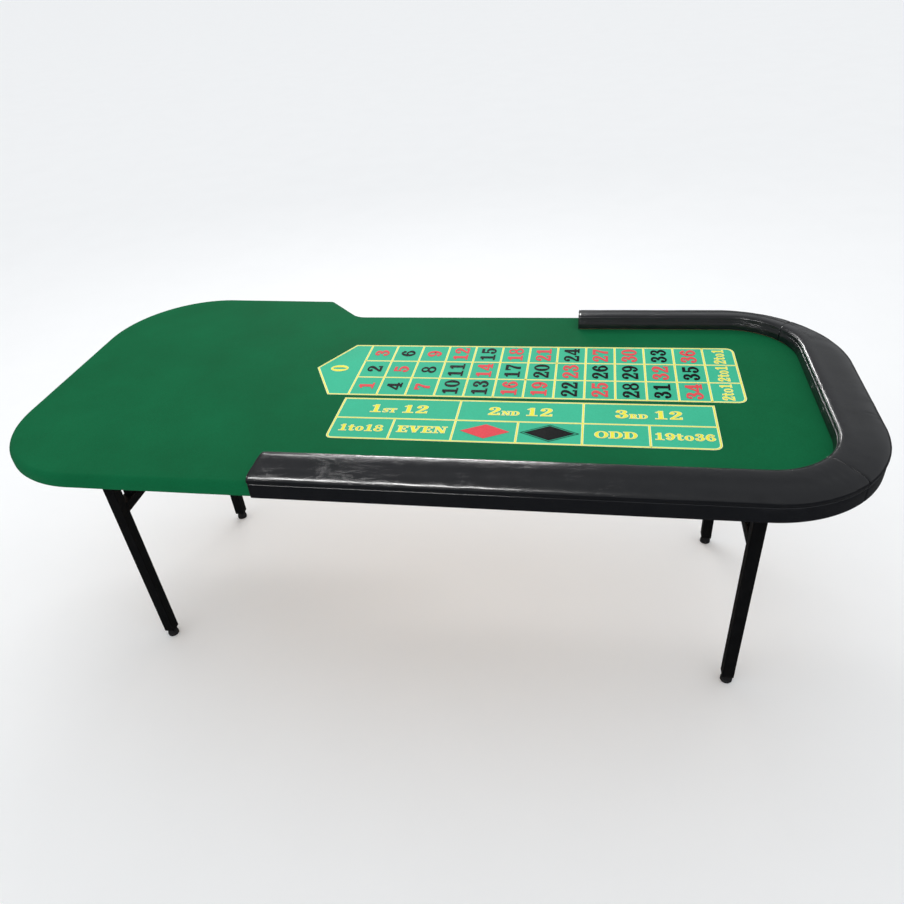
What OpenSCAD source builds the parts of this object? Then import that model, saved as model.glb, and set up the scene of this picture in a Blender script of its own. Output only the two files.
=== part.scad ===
// Folding roulette table: a cloth-covered top with a padded rail round the play end,
// standing on two steel leg frames that fold inward under it.
// Millimetres, +X along the table to the play end, +Y to the dealer's side, +Z up.
// Origin on the floor, below the middle of the top.

/* [Top] */
// Overall length over the rail
table_l = 2440; // [2360:10:2520]
// Overall depth at the wheel end
table_d = 1130; // [1100:10:1180]
// Height of the cloth above the floor
felt_h = 845; // [820:5:880]
// How far the dealer's side is set back from the wheel end's back edge
notch_d = 147; // [120:1:160]
// How far the wheel end's back edge drops on its way to the notch
wheel_taper = 16; // [0:1:20]
// Where the notch ramp starts, from the middle
notch_x = -469; // [-520:1:-420]
// Radius of the two front corners
front_r = 315; // [280:5:340]
// Radius of the two back corners
back_r = 335; // [280:5:340]
// Board thickness
board_t = 18; // [15:1:22]
// Thickness of the strip that deepens the board's edge
band_t = 19; // [15:1:22]
// Width of that strip
band_w = 70; // [60:1:80]
// Foam underlay thickness
underlay_t = 3; // [2:0.5:5]
// Thickness of the foam that softens the board's edge
edge_foam_t = 8; // [6:0.5:10]
// Cloth thickness
cloth_t = 2; // [1.5:0.1:2.5]
// Width of the hem that is turned under the edge
hem_w = 32; // [20:1:36]

/* [Rail] */
// Rail width along the front and back
rail_w = 104; // [95:1:115]
// Rail width across the play end
end_rail_w = 134; // [120:1:150]
// Rail height above the cloth
rail_h = 43; // [40:1:48]
// How far the rail stands outside the cloth's edge
rail_lip = 2.5; // [2.3:0.1:4]
// Inner corner radius of the rail
inner_r = 180; // [150:5:200]
// Free end of the front rail
front_end_x = -345; // [-360:1:-300]
// Free end of the back rail
back_end_x = 444; // [400:1:480]
// Leatherette thickness
cover_t = 2; // [1.5:0.1:2.1]
// Thickness of the wooden core in the rail
core_t = 18; // [16:1:18]
// Gap at each seam between two rail covers
seam_gap = 0.6; // [0.4:0.1:1]

/* [Legs] */
// Distance of each leg frame from the middle
leg_x = 932; // [900:1:960]
// Front legs
leg_front_y = -377; // [-390:1:-360]
// Back legs
leg_back_y = 253; // [240:1:270]
// Width of the leg tube
tube_w = 35; // [32:1:38]
// Wall of every tube
wall_t = 2; // [1.5:0.1:2.5]
// Height of the cross tube's centre
cross_z = 567; // [540:1:590]
// Width of the two short posts
post_w = 25; // [22:1:28]
// Distance of each post from its leg, centre to centre
post_in = 67; // [60:1:80]
// Hinge axis below the board
hinge_drop = 30; // [28:1:34]
// Diameter of the hinge bolts
bolt_d = 10; // [8:1:10]
// Diameter of the levelling feet
foot_d = 36; // [32:1:38]
// Height of the tube ends above the floor
leg_gap = 30; // [28:1:34]

/* [Stays] */
// Width of the two links of each stay
link_w = 20; // [20:1:24]
// Thickness of the links
link_t = 4; // [3:0.5:5]
// Diameter of the stay's end rivets
rivet_d = 8; // [6:1:8]
// Diameter of the knee pin that runs in the slot
knee_d = 6; // [5:1:6]

/* [Hidden] */
$fn = 96;
eps = 0.01;
air = 0.3;
left_x = -table_l / 2;
right_x = table_l / 2 - rail_lip;
front_y = -table_d / 2 + rail_lip;
wheel_y = table_d / 2;
ramp_y = wheel_y - wheel_taper;
back_y = wheel_y - notch_d;
ramp_r = 22;
fillet_r = 70;
board_z = felt_h - cloth_t - underlay_t - board_t;
band_z = board_z - band_t;
edge_z = band_z - cloth_t;
wood_in = cloth_t + edge_foam_t;
rail_in_x = table_l / 2 - end_rail_w;
rail_in_front = -table_d / 2 + rail_w;
rail_in_back = back_y + rail_lip - rail_w;
// The rail's section as steps: heights, outer insets and inner insets
steps_h = [core_t + 2.5, core_t + 10, rail_h - 7, rail_h];
steps_o = [0, 0, 12, 36];
steps_n = [2, 7, 13, 24];
// Both mitre seams start from one point and run out at these angles
seam_x = 776;
seam_y = -207;
seam_front_a = -37.5;
seam_back_a = 59;
hinge_z = board_z - hinge_drop;
end_front_y = leg_front_y - tube_w / 2;
end_back_y = leg_back_y + tube_w / 2;
post_ys = [leg_front_y + post_in, leg_back_y - post_in];
bracket_gap = 1;
plate_t = 5;
plate_w = 50;
bore_air = 0.16;
screw_d = 5;
// The slotted stay: where its pivots lie from the hinge axis, and how far the knee pin is from the lower pivot
stay_drop = 85;
stay_in = 119;
stay_rise = 2.5;
upper_l = 43.8;
upper_a = -137.9;
lower_a = 34;
knee_near = 77;
knee_far = 104;
knee_air = 2.8;
side_gap = 1;
tab_r = 14;

// A square with rounded corners, centred
module rounded_square(w, r) {
  h = w / 2;
  polygon([[r - h, -h], [h - r, -h], [h, r - h], [h, h - r], [h - r, h], [r - h, h], [-h, h - r], [-h, r - h]]);
  for (x = [-1, 1], y = [-1, 1])
    translate([x * (h - r), y * (h - r)])
      circle(r);
}

// The table's outline, drawn in by i
module outline(i = 0) {
  rf = front_r - i;
  rb = back_r - i;
  rc = max(ramp_r - i, 8);
  rn = fillet_r + i;
  bend = tan(22.5);
  line = notch_x + ramp_y - i * sqrt(2);
  top_y = ramp_y - i;
  low_y = back_y - i;
  top_x = line - top_y;
  low_x = line - low_y;
  difference() {
    union() {
      polygon([
        [left_x + i, front_y + front_r], [left_x + front_r, front_y + i],
        [right_x - front_r, front_y + i], [right_x - i, front_y + front_r],
        [right_x - i, back_y - back_r], [right_x - back_r, low_y],
        [low_x + rn * bend, low_y], [low_x - rn * bend * cos(45), low_y + rn * bend * sin(45)],
        [top_x + rc * bend * cos(45), top_y - rc * bend * sin(45)], [top_x - rc * bend, top_y],
        [left_x + back_r, wheel_y - i], [left_x + i, wheel_y - back_r],
      ]);
      translate([left_x + front_r, front_y + front_r]) circle(rf);
      translate([right_x - front_r, front_y + front_r]) circle(rf);
      translate([right_x - back_r, back_y - back_r]) circle(rb);
      translate([left_x + back_r, wheel_y - back_r]) circle(rb);
      translate([top_x - rc * bend, top_y - rc]) circle(rc);
    }
    // A hair larger than tangent, so that it crosses both lines
    translate([low_x + rn * bend, low_y + rn]) circle(rn + 2 * eps);
  }
}

// The playing recess inside the rail, let out by n; it is open to the left
module recess(n = 0) {
  open_x = -2 * table_l / 3;
  polygon([
    [open_x, rail_in_front - n], [rail_in_x - inner_r, rail_in_front - n],
    [rail_in_x + n, rail_in_front + inner_r], [rail_in_x + n, rail_in_back - inner_r],
    [rail_in_x - inner_r, rail_in_back + n], [open_x, rail_in_back + n],
  ]);
  for (y = [rail_in_front + inner_r, rail_in_back - inner_r])
    translate([rail_in_x - inner_r, y])
      circle(inner_r + n);
}

// The parts of the plan that belong to one rail piece, cut back by g at its ends
module reach(piece, g = 0) {
  far = 1200;
  f = g / sin(-seam_front_a);
  b = g / sin(seam_back_a);
  front_tip = [seam_x + far * cos(seam_front_a), seam_y + far * sin(seam_front_a)];
  back_tip = [seam_x + far * cos(seam_back_a), seam_y + far * sin(seam_back_a)];
  if (piece == "front")
    polygon([[front_end_x + g, front_tip[1]], [front_end_x + g, seam_y], [seam_x - f, seam_y], front_tip - [f, 0]]);
  if (piece == "back")
    polygon([[back_end_x + g, back_tip[1]], [back_end_x + g, seam_y], [seam_x - b, seam_y], back_tip - [b, 0]]);
  if (piece == "end")
    polygon([[seam_x + f, seam_y], front_tip + [f, 0], [2 * far, 0], back_tip + [b, 0]]);
}

// A flat band of rail, with its outer side drawn in by o and its inner side by n
module rail_band(piece, o, n, g) {
  intersection() {
    difference() {
      outline(o - rail_lip);
      recess(n);
    }
    reach(piece, g);
  }
}

// The crowned rail section as steps, with every face drawn in by s
module rail_form(piece, s, g) {
  for (k = [0:3])
    translate([0, 0, felt_h])
      linear_extrude(steps_h[k] - s)
        rail_band(piece, steps_o[k] + s, steps_n[k] + s, g);
}

// Where the rail screws stand: five along the front, three across the end and three along the back
function rail_screw_spots() = [
  for (k = [0:4]) [front_end_x + 60 + 295 * k, front_y + 51],
  for (k = [0:2]) [right_x - 60, -210 + 130 * k],
  for (k = [0:2]) [back_end_x + 60 + 180 * k, back_y - 51],
];

// Screw spots in the strip, halfway between its edge and its inner side
function band_screw_spots() = [
  for (k = [0:5]) [left_x + front_r + 120 + 300 * k, front_y + 40],
  for (k = [0:1]) [left_x + 45, -150 + 300 * k],
  for (k = [0:1]) [left_x + back_r + 60 + 240 * k, wheel_y - 56],
  for (k = [0:2]) [-200 + 280 * k, back_y - 45],
];

// Screws that hold the hinge brackets, and the ones that hold the stay tabs, left and right
function bracket_spots() = [
  for (s = [-1, 1], x = [-15, 15], y = [end_front_y - 27, end_back_y + 27]) [s * leg_x + x, y],
];
function tab_spots() = [
  for (s = [-1, 1], x = [-9, 9], k = [0, 1]) [s * (leg_x - stay_in) + x, tab_y(k) + (k == 0 ? 16 : -16)],
];

// Inner face of a post, and where the stay's parts lie from it; k is 0 at the front and 1 at the back
function post_face(k) = post_ys[k] + (k == 0 ? 1 : -1) * post_w / 2;
function tab_y(k) = post_face(k) + (k == 0 ? 1 : -1) * (3 * side_gap + 2 * link_t);

module holes(spots, d, z0, z1) {
  for (p = spots)
    translate([p[0], p[1], z0])
      cylinder(d = d, h = z1 - z0);
}

module cloth() {
  color("#0f7a4a")
  difference() {
    translate([0, 0, edge_z])
      linear_extrude(felt_h - edge_z)
        outline();
    translate([0, 0, band_z])
      linear_extrude(felt_h - cloth_t - band_z)
        outline(cloth_t);
    translate([0, 0, edge_z - eps])
      linear_extrude(cloth_t + 2 * eps)
        outline(hem_w);
    holes(rail_screw_spots(), screw_d + 0.6, felt_h - cloth_t - eps, felt_h + eps);
  }
}

module underlay() {
  color("#3f4a44")
  difference() {
    translate([0, 0, board_z + board_t])
      linear_extrude(underlay_t)
        outline(cloth_t + air);
    holes(rail_screw_spots(), screw_d + 0.6, board_z, felt_h);
  }
}

// A strip of foam round the whole edge, between the cloth and the wood
module edge_foam() {
  color("#3f4a44")
  translate([0, 0, band_z])
    linear_extrude(band_t + board_t)
      difference() {
        outline(cloth_t + air);
        outline(wood_in);
      }
}

module board() {
  color("#b98d5e")
  difference() {
    translate([0, 0, board_z])
      linear_extrude(board_t)
        outline(wood_in);
    holes(rail_screw_spots(), screw_d + 0.4, board_z - eps, board_z + board_t + eps);
    holes(band_screw_spots(), screw_d + 0.1, board_z - eps, board_z + 12);
    holes(bracket_spots(), screw_d + 0.1, board_z - eps, board_z + 12);
    holes(tab_spots(), screw_d + 0.1, board_z - eps, board_z + 12);
  }
}

module edge_band() {
  color("#a67c4f")
  difference() {
    translate([0, 0, band_z])
      linear_extrude(band_t)
        difference() {
          outline(wood_in);
          outline(band_w);
        }
    holes(rail_screw_spots(), screw_d + 0.4, band_z - eps, board_z + eps);
    holes(band_screw_spots(), screw_d + 0.4, band_z - eps, board_z + eps);
  }
}

// Pan-head screws with their heads hanging below z
module screws(spots, z, head_d, head_h, length) {
  for (p = spots) {
    translate([p[0], p[1], z - head_h])
      cylinder(d = head_d, h = head_h);
    translate([p[0], p[1], z - eps])
      cylinder(d = screw_d, h = length);
  }
}

module edge_band_screws() {
  color("#9a9a9a") screws(band_screw_spots(), band_z, 9, 2.5, band_t + 11);
}

module rail_screws() {
  color("#9a9a9a") screws(rail_screw_spots(), band_z, 10, 3, felt_h - band_z + 12);
}

// Leatherette pulled over the rail, down the table's edge and under it
module rail_cover(piece) {
  color("#1b1b1e")
  difference() {
    union() {
      rail_form(piece, 0, seam_gap / 2);
      translate([0, 0, edge_z - cover_t])
        linear_extrude(felt_h - edge_z + cover_t + eps)
          rail_skirt(piece, -air);
      translate([0, 0, edge_z - cover_t])
        linear_extrude(cover_t - eps)
          rail_skirt(piece, 20);
    }
    translate([0, 0, -eps])
      rail_form(piece, cover_t, seam_gap / 2 + cover_t);
  }
}

// The ring between the rail's outer face and the table's outline drawn in by i
module rail_skirt(piece, i) {
  intersection() {
    difference() {
      outline(-rail_lip);
      outline(i);
    }
    reach(piece, seam_gap / 2);
  }
}

module rail_foam(piece) {
  s = cover_t + air;
  color("#d9d2b0")
  difference() {
    rail_form(piece, s, seam_gap / 2 + s);
    translate([-table_l, -table_d, 0])
      cube([2 * table_l, 2 * table_d, felt_h + core_t + air]);
  }
}

module rail_core(piece) {
  s = cover_t + air;
  color("#a67c4f")
  difference() {
    translate([0, 0, felt_h])
      linear_extrude(core_t)
        rail_band(piece, s, steps_n[0] + s, seam_gap / 2 + s);
    holes(rail_screw_spots(), screw_d + 0.1, felt_h - eps, felt_h + 13);
  }
}

// Square tube along +Z
module tube(w, length) {
  difference() {
    linear_extrude(length)
      rounded_square(w, 3);
    translate([0, 0, -eps])
      linear_extrude(length + 2 * eps)
        rounded_square(w - 2 * wall_t, 1);
  }
}

// Both frames are drawn as the left one; the right one is its mirror image
module place(side) {
  if (side == "left")
    children();
  else
    mirror([1, 0, 0]) children();
}

module leg(side, y) {
  color("#161617")
  place(side)
    translate([-leg_x, y, leg_gap])
      tube(tube_w, hinge_z - tube_w / 2 - leg_gap);
}

// A tube along the table's depth between two points of y
module depth_tube(side, z, y0, y1) {
  color("#161617")
  place(side)
    translate([-leg_x, y0, z])
      rotate([-90, 0, 0])
        tube(tube_w, y1 - y0);
}

module cross_tube(side) {
  depth_tube(side, cross_z, leg_front_y + tube_w / 2, leg_back_y - tube_w / 2);
}

module hinge_tube(side) {
  depth_tube(side, hinge_z, end_front_y, end_back_y);
}

module posts(side) {
  z0 = cross_z + tube_w / 2;
  color("#161617")
  place(side)
    difference() {
      for (y = post_ys)
        translate([-leg_x, y, z0])
          tube(post_w, hinge_z - tube_w / 2 - z0);
      for (y = post_ys)
        translate([-leg_x, y, hinge_z - stay_drop])
          rotate([90, 0, 0])
            cylinder(d = rivet_d + 0.1, h = 2 * post_w, center = true);
    }
}

// Steel plugs in the ends of the hinge tube, bored for the hinge bolts
module hinge_plugs(side) {
  color("#3a3a3c")
  place(side)
    for (y = [end_front_y, end_back_y - 32])
      translate([-leg_x, y, hinge_z])
        rotate([-90, 0, 0])
          difference() {
            linear_extrude(32)
              rounded_square(tube_w - 2 * wall_t - 0.2, 1);
            translate([0, 0, -eps])
              cylinder(d = bolt_d + bore_air, h = 32 + 2 * eps);
          }
}

// Plugs in the leg ends with a collar for the feet to stop against
module foot_plugs(side) {
  color("#202022")
  place(side)
    for (y = [leg_front_y, leg_back_y])
      translate([-leg_x, y, leg_gap])
        difference() {
          union() {
            linear_extrude(26)
              rounded_square(tube_w - 2 * wall_t - 0.2, 1);
            translate([0, 0, -2])
              linear_extrude(2)
                rounded_square(tube_w - 1, 3);
          }
          translate([0, 0, -2 - eps])
            cylinder(d = bolt_d + bore_air, h = 28 + 2 * eps);
        }
}

// Plates under the board that carry the hinge bolts
module brackets(side) {
  r = 22;
  color("#3a3a3c")
  place(side)
    difference() {
      for (s = [-1, 1]) {
        face = s < 0 ? end_front_y - bracket_gap : end_back_y + bracket_gap;
        translate([-leg_x, s < 0 ? face : face + plate_t, 0])
          rotate([90, 0, 0])
            linear_extrude(plate_t) {
              translate([-r, hinge_z]) square([2 * r, board_z - hinge_z]);
              translate([0, hinge_z]) circle(r);
            }
        translate([-leg_x - plate_w / 2, s < 0 ? face - 44 : face, board_z - 4])
          cube([plate_w, 44, 4]);
      }
      for (y = [end_front_y, end_back_y])
        translate([-leg_x, y, hinge_z])
          rotate([90, 0, 0])
            cylinder(d = bolt_d + 0.1, h = 60, center = true);
      holes(bracket_spots(), screw_d + 0.4, board_z - 5, board_z + 1);
    }
}

module bracket_screws(side) {
  color("#9a9a9a")
  screws([for (p = bracket_spots()) if (p[0] * (side == "left" ? -1 : 1) > 0) p], board_z - 4, 9, 2.5, 15);
}

module hinge_bolts(side) {
  color("#8a8a8c")
  place(side)
    for (s = [-1, 1]) {
      outer = s < 0 ? end_front_y - bracket_gap - plate_t : end_back_y + bracket_gap + plate_t;
      translate([-leg_x, outer, hinge_z])
        rotate([-s * 90, 0, 0]) {
          mirror([0, 0, 1])
            cylinder(d = bolt_d, h = 34);
          cylinder(d = 18.5, h = 6.4, $fn = 6);
        }
    }
}

// Draws its children, which lie along +Z from a post's inner face, at the front stay and mirrored at the back one
module at_stays(side, u, w) {
  place(side)
    for (k = [0, 1])
      translate([-leg_x + u, post_face(k), hinge_z + w])
        mirror([0, k, 0])
          rotate([-90, 0, 0])
            children();
}

// A flat link with round ends along +X
module link_plan(length) {
  translate([0, -link_w / 2])
    square([length, link_w]);
  circle(d = link_w);
  translate([length, 0])
    circle(d = link_w);
}

// Tabs under the board that carry the upper ends of the stays
module stay_tabs(side) {
  rise = board_z - hinge_z - stay_rise;
  y = 3 * side_gap + 2 * link_t;
  color("#3a3a3c")
  difference() {
    at_stays(side, stay_in, stay_rise)
      translate([0, 0, y]) {
        linear_extrude(4)
          difference() {
            union() {
              circle(tab_r);
              translate([-tab_r, -rise]) square([2 * tab_r, rise]);
            }
            circle(d = rivet_d + 0.1);
          }
        translate([-tab_r, -rise, 0])
          cube([2 * tab_r, 4, 28]);
      }
    holes(tab_spots(), screw_d + 0.4, board_z - 5, board_z + 1);
  }
}

module tab_screws(side) {
  color("#9a9a9a")
  screws([for (p = tab_spots()) if (p[0] * (side == "left" ? -1 : 1) > 0) p], board_z - 4, 9, 2.5, 15);
}

// Rivets through the tabs and the upper links
module tab_rivets(side) {
  near = 2 * side_gap + link_t + 0.2;
  far = 3 * side_gap + 2 * link_t + 4;
  color("#8a8a8c")
  at_stays(side, stay_in, stay_rise) {
    translate([0, 0, near])
      cylinder(d = rivet_d, h = far - near + eps);
    translate([0, 0, far])
      cylinder(d = 14, h = 2.5);
  }
}

module upper_links(side) {
  color("#2c2c2e")
  at_stays(side, stay_in, stay_rise)
    translate([0, 0, 2 * side_gap + link_t])
      linear_extrude(link_t)
        rotate(-upper_a)
          difference() {
            link_plan(upper_l);
            circle(d = rivet_d + bore_air);
            translate([upper_l, 0]) circle(d = knee_d + 0.1);
          }
}

// Pins fixed in the upper links that run in the slots of the lower links
module knee_pins(side) {
  color("#8a8a8c")
  at_stays(side, stay_in + upper_l * cos(upper_a), stay_rise + upper_l * sin(upper_a)) {
    translate([0, 0, 0.6])
      cylinder(d = knee_d, h = 2 * side_gap + 2 * link_t - 0.6 + eps);
    translate([0, 0, 2 * side_gap + 2 * link_t])
      cylinder(d = 11, h = 2);
  }
}

module lower_links(side) {
  color("#2c2c2e")
  at_stays(side, 0, -stay_drop)
    translate([0, 0, side_gap])
      linear_extrude(link_t)
        rotate(-lower_a)
          difference() {
            link_plan(knee_far);
            circle(d = rivet_d + bore_air);
            translate([knee_near, -knee_d / 2 - knee_air])
              square([knee_far - knee_near, knee_d + 2 * knee_air]);
            for (x = [knee_near, knee_far])
              translate([x, 0])
                circle(d = knee_d + 2 * knee_air);
          }
}

// Rivets through the posts and the lower links
module stay_rivets(side) {
  color("#8a8a8c")
  at_stays(side, 0, -stay_drop) {
    translate([0, 0, -post_w - 2.5])
      cylinder(d = 14, h = 2.5);
    translate([0, 0, -post_w - eps])
      cylinder(d = rivet_d, h = post_w + side_gap + link_t + air + 2 * eps);
    translate([0, 0, side_gap + link_t + air])
      cylinder(d = 14, h = 2.5);
  }
}

// A levelling foot: a round pad that stops against the plug's collar, and its stem
module foot(side, y) {
  r = foot_d / 2;
  top = leg_gap - 2 - air;
  color("#1c1c1e")
  place(side)
    translate([-leg_x, y, 0]) {
      rotate_extrude()
        polygon([[0, 0], [r - 2, 0], [r, 2], [r, 9], [r - 2, 11], [r - 2, top - 2], [r - 4, top], [0, top]]);
      translate([0, 0, top - 1])
        cylinder(d = bolt_d, h = 38);
    }
}

cloth();
underlay();
edge_foam();
board();
edge_band();
edge_band_screws();
rail_screws();
rail_cover("front");  // front_rail_cover
rail_foam("front");  // front_rail_foam
rail_core("front");  // front_rail_core
rail_cover("end");  // end_rail_cover
rail_foam("end");  // end_rail_foam
rail_core("end");  // end_rail_core
rail_cover("back");  // back_rail_cover
rail_foam("back");  // back_rail_foam
rail_core("back");  // back_rail_core
leg("left", leg_front_y);  // left_front_leg
leg("left", leg_back_y);  // left_back_leg
cross_tube("left");  // left_cross_tube
posts("left");  // left_posts
hinge_tube("left");  // left_hinge_tube
hinge_plugs("left");  // left_hinge_plugs
foot_plugs("left");  // left_foot_plugs
stay_rivets("left");  // left_stay_rivets
brackets("left");  // left_brackets
bracket_screws("left");  // left_bracket_screws
hinge_bolts("left");  // left_hinge_bolts
stay_tabs("left");  // left_stay_tabs
tab_screws("left");  // left_tab_screws
tab_rivets("left");  // left_tab_rivets
upper_links("left");  // left_upper_links
knee_pins("left");  // left_knee_pins
lower_links("left");  // left_lower_links
foot("left", leg_front_y);  // left_front_foot
foot("left", leg_back_y);  // left_back_foot
leg("right", leg_front_y);  // right_front_leg
leg("right", leg_back_y);  // right_back_leg
cross_tube("right");  // right_cross_tube
posts("right");  // right_posts
hinge_tube("right");  // right_hinge_tube
hinge_plugs("right");  // right_hinge_plugs
foot_plugs("right");  // right_foot_plugs
stay_rivets("right");  // right_stay_rivets
brackets("right");  // right_brackets
bracket_screws("right");  // right_bracket_screws
hinge_bolts("right");  // right_hinge_bolts
stay_tabs("right");  // right_stay_tabs
tab_screws("right");  // right_tab_screws
tab_rivets("right");  // right_tab_rivets
upper_links("right");  // right_upper_links
knee_pins("right");  // right_knee_pins
lower_links("right");  // right_lower_links
foot("right", leg_front_y);  // right_front_foot
foot("right", leg_back_y);  // right_back_foot
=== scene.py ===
# Roulette table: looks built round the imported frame.
import bpy
import bmesh
import math
from mathutils import Matrix, Vector, noise


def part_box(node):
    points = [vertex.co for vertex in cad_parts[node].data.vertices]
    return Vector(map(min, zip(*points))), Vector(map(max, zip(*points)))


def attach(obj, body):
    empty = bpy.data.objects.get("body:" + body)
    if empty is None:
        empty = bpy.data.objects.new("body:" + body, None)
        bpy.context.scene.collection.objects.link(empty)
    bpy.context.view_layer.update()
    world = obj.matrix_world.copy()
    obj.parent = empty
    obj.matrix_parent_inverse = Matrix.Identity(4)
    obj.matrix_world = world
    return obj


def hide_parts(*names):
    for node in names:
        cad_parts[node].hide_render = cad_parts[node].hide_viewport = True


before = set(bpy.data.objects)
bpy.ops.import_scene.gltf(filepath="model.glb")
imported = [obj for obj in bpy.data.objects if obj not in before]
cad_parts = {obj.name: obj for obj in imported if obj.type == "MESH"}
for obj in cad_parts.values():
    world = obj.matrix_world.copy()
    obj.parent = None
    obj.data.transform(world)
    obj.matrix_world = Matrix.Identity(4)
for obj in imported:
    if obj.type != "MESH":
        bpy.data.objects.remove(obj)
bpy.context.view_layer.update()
print("frame loaded:", len(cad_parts), "nodes")

# The table's plan, in metres. The rest of it comes from the cloth's box.
plan = {
    "frontRadius": 0.315,
    "backRadius": 0.335,
    "rampRadius": 0.022,
    "filletRadius": 0.070,
    "notchDepth": 0.147,
    "wheelTaper": 0.016,
    "notchX": -0.469,
    "railLip": 0.0025,
}
clothLow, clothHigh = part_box("cloth")
leftX, frontY, edgeZ = clothLow
rightX, wheelY, feltZ = clothHigh
rampY = wheelY - plan["wheelTaper"]
backY = wheelY - plan["notchDepth"]



def newGroup(name, inputs, outputs):
    group = bpy.data.node_groups.new(name, "ShaderNodeTree")
    for socket, value in inputs.items():
        made = group.interface.new_socket(name=socket, in_out="INPUT", socket_type="NodeSocketFloat")
        made.default_value = value
    for socket in outputs:
        group.interface.new_socket(name=socket, in_out="OUTPUT", socket_type="NodeSocketFloat")
    return group, group.nodes.new("NodeGroupInput"), group.nodes.new("NodeGroupOutput")


def addNode(tree, kind, values=None, **settings):
    node = tree.nodes.new(kind)
    for key, value in settings.items():
        setattr(node, key, value)
    for socket, value in (values or {}).items():
        if isinstance(value, bpy.types.NodeSocket):
            tree.links.new(value, node.inputs[socket])
        else:
            node.inputs[socket].default_value = value
    return node


def doMath(tree, operation, first, second):
    return addNode(tree, "ShaderNodeMath", {0: first, 1: second}, operation=operation).outputs[0]


def stretched(tree, stretch):
    # object coordinates are metres in the frame
    spot = addNode(tree, "ShaderNodeTexCoord").outputs["Object"]
    return addNode(tree, "ShaderNodeMapping", {"Vector": spot, "Scale": stretch}).outputs["Vector"]


def noiseAt(tree, vector, scale, detail=2.0, roughness=0.5, distortion=0.0):
    values = {
        "Vector": vector, "Scale": scale, "Detail": detail,
        "Roughness": roughness, "Distortion": distortion,
    }
    return addNode(tree, "ShaderNodeTexNoise", values).outputs["Fac"]


def spreadOut(tree, value, low, high, toLow=0.0, toHigh=1.0):
    values = {"Value": value, "From Min": low, "From Max": high, "To Min": toLow, "To Max": toHigh}
    return addNode(tree, "ShaderNodeMapRange", values).outputs["Result"]


def weighed(tree, *parts):
    # the sum of (value, weight) parts
    total = None
    for value, weight in parts:
        part = doMath(tree, "MULTIPLY", value, weight)
        total = part if total is None else doMath(tree, "ADD", total, part)
    return total


def makeNapGroup():
    # short wool fibres, with wide soft patches where the nap lies over
    group, start, end = newGroup("woolNap", {"Fibre Scale": 1100.0, "Patch Scale": 5.0}, ["Shade", "Height"])
    spot = stretched(group, (1, 1, 1))
    along = stretched(group, (1, 0.35, 1))
    fibres = noiseAt(group, along, start.outputs["Fibre Scale"], 3.0, 0.6, 0.6)
    patches = noiseAt(group, spot, start.outputs["Patch Scale"], 3.0, 0.55)
    flecks = noiseAt(group, spot, 210.0, 2.0)
    mixed = weighed(group, (fibres, 0.45), (patches, 0.35), (flecks, 0.2))
    group.links.new(spreadOut(group, mixed, 0.36, 0.64), end.inputs["Shade"])
    group.links.new(weighed(group, (fibres, 1.0), (flecks, 0.5)), end.inputs["Height"])
    return group


def makeHideGroup():
    # pebbled leatherette grain with fine creases along the piece
    inputs = {"Grain Scale": 620.0, "Crease Scale": 46.0}
    group, start, end = newGroup("pebbledHide", inputs, ["Crease", "Height", "Mottle"])
    spot = stretched(group, (1, 1, 1))
    long = stretched(group, (0.35, 1.0, 1.0))
    pebbles = addNode(group, "ShaderNodeTexVoronoi", {"Vector": spot, "Scale": start.outputs["Grain Scale"]})
    grain = spreadOut(group, pebbles.outputs["Distance"], 0.05, 0.6, 1.0, 0.0)
    folds = noiseAt(group, long, start.outputs["Crease Scale"], 4.0, 0.62, 1.4)
    away = addNode(group, "ShaderNodeMath", {0: doMath(group, "SUBTRACT", folds, 0.5)}, operation="ABSOLUTE")
    crease = spreadOut(group, away.outputs[0], 0.0, 0.05, 1.0, 0.0)
    patches = noiseAt(group, spot, 7.0, 2.0)
    crease = doMath(group, "MULTIPLY", crease, spreadOut(group, patches, 0.42, 0.62))
    height = doMath(group, "SUBTRACT", doMath(group, "MULTIPLY", grain, 0.12), crease)
    group.links.new(crease, end.inputs["Crease"])
    group.links.new(height, end.inputs["Height"])
    group.links.new(noiseAt(group, spot, 24.0, 3.0, 0.6), end.inputs["Mottle"])
    return group


def makeHandlingGroup():
    # scuffs, dust and the orange peel of a coated or plated face
    inputs = {"Scuff Scale": 60.0, "Amount": 0.5}
    group, start, end = newGroup("handling", inputs, ["Scuff", "Dust", "Height"])
    spot = stretched(group, (1, 1, 1))
    lines = noiseAt(group, stretched(group, (1, 1, 0.12)), start.outputs["Scuff Scale"], 5.0, 0.7, 0.8)
    patches = noiseAt(group, spot, 9.0, 3.0)
    patches = spreadOut(group, patches, 0.45, 0.7)
    worn = doMath(group, "MULTIPLY", spreadOut(group, lines, 0.56, 0.72), patches)
    group.links.new(doMath(group, "MULTIPLY", worn, start.outputs["Amount"]), end.inputs["Scuff"])
    group.links.new(spreadOut(group, noiseAt(group, spot, 30.0, 4.0, 0.65), 0.4, 0.75), end.inputs["Dust"])
    group.links.new(noiseAt(group, spot, 900.0, 2.0), end.inputs["Height"])
    return group


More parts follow.
